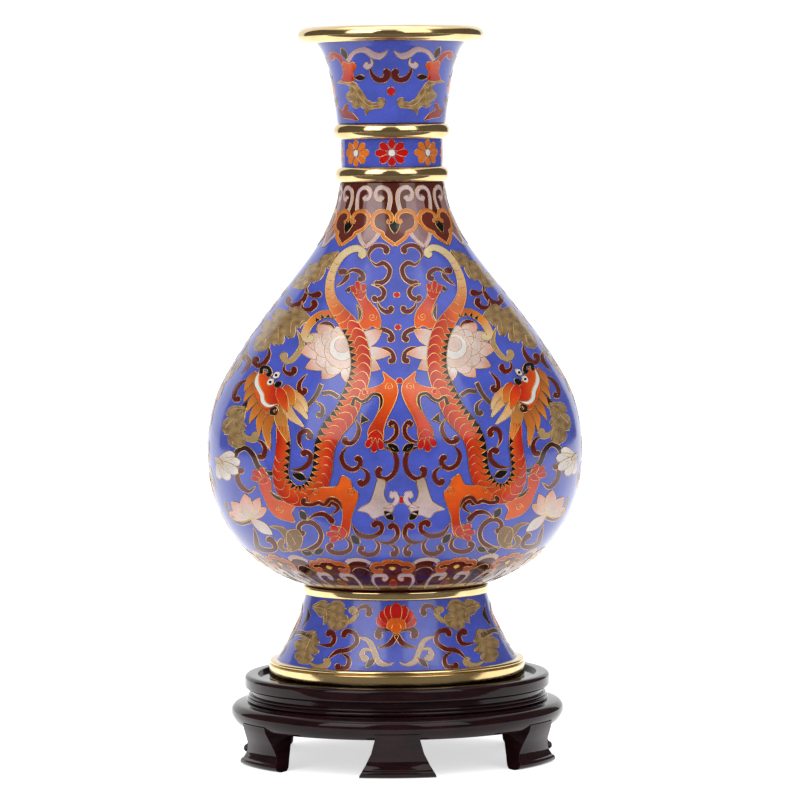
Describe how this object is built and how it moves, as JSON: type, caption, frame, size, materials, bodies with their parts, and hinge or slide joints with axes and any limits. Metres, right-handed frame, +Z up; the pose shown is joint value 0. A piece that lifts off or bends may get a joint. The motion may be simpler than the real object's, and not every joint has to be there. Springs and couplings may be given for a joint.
{
  "type": "cloisonne vase",
  "caption": "Pear-shaped cloisonne vase with a flared neck, gilt rings and a spreading foot, lifting off a low round lacquered stand on carved legs.",
  "frame": {"origin": "on the vase's axis, on the surface that the stand's feet rest on", "axes": "+Z up along the axis; -Y is the front, where one leg and the gap between the two dragons face"},
  "size_m": [0.1444, 0.1444, 0.2815],
  "materials": {
    "lacquered_wood": "near-black gloss lacquer over fine-grained wood, a faint red-brown at the edges",
    "dowel_wood": "bare wood",
    "gilt_brass": "polished gilding, pale warm gold",
    "copper": "bare hammered copper, hidden by enamel on both faces",
    "blue_enamel": "opaque glass enamel, polished flush with the wires, fine pits",
    "maroon_enamel": "opaque glass enamel, polished flush with the wires, fine pits",
    "counter_enamel": "plain opaque glass enamel, slightly uneven"
  },
  "bodies": {
    "stand": {"stand_tray": "lacquered_wood", "stand_panel": "lacquered_wood", "stand_waist": "lacquered_wood", "stand_apron": "lacquered_wood", "stand_leg_1": "lacquered_wood", "stand_leg_2": "lacquered_wood", "stand_leg_3": "lacquered_wood", "stand_leg_4": "lacquered_wood", "stand_leg_5": "lacquered_wood", "stand_leg_6": "lacquered_wood", "leg_dowels": "dowel_wood"},
    "vase": {"mouth_rim": "gilt_brass", "neck_shell": "copper", "neck_ring_upper": "gilt_brass", "collar_shell": "copper", "neck_ring_lower": "gilt_brass", "upper_body_shell": "copper", "lower_body_shell": "copper", "waist_ring": "gilt_brass", "foot_shell": "copper", "foot_ring": "gilt_brass", "base_plate": "copper", "neck_enamel": "blue_enamel", "collar_enamel": "blue_enamel", "shoulder_enamel": "maroon_enamel", "belly_enamel": "blue_enamel", "lappet_enamel": "maroon_enamel", "foot_enamel": "blue_enamel", "base_enamel": "counter_enamel", "neck_lining": "counter_enamel", "body_lining": "counter_enamel", "foot_lining": "counter_enamel"}
  },
  "joints": [
    {"name": "vase_lift", "type": "slide", "parent": "stand", "child": "vase", "axis": [0, 0, 1], "range_m": [0, 0.06]}
  ]
}
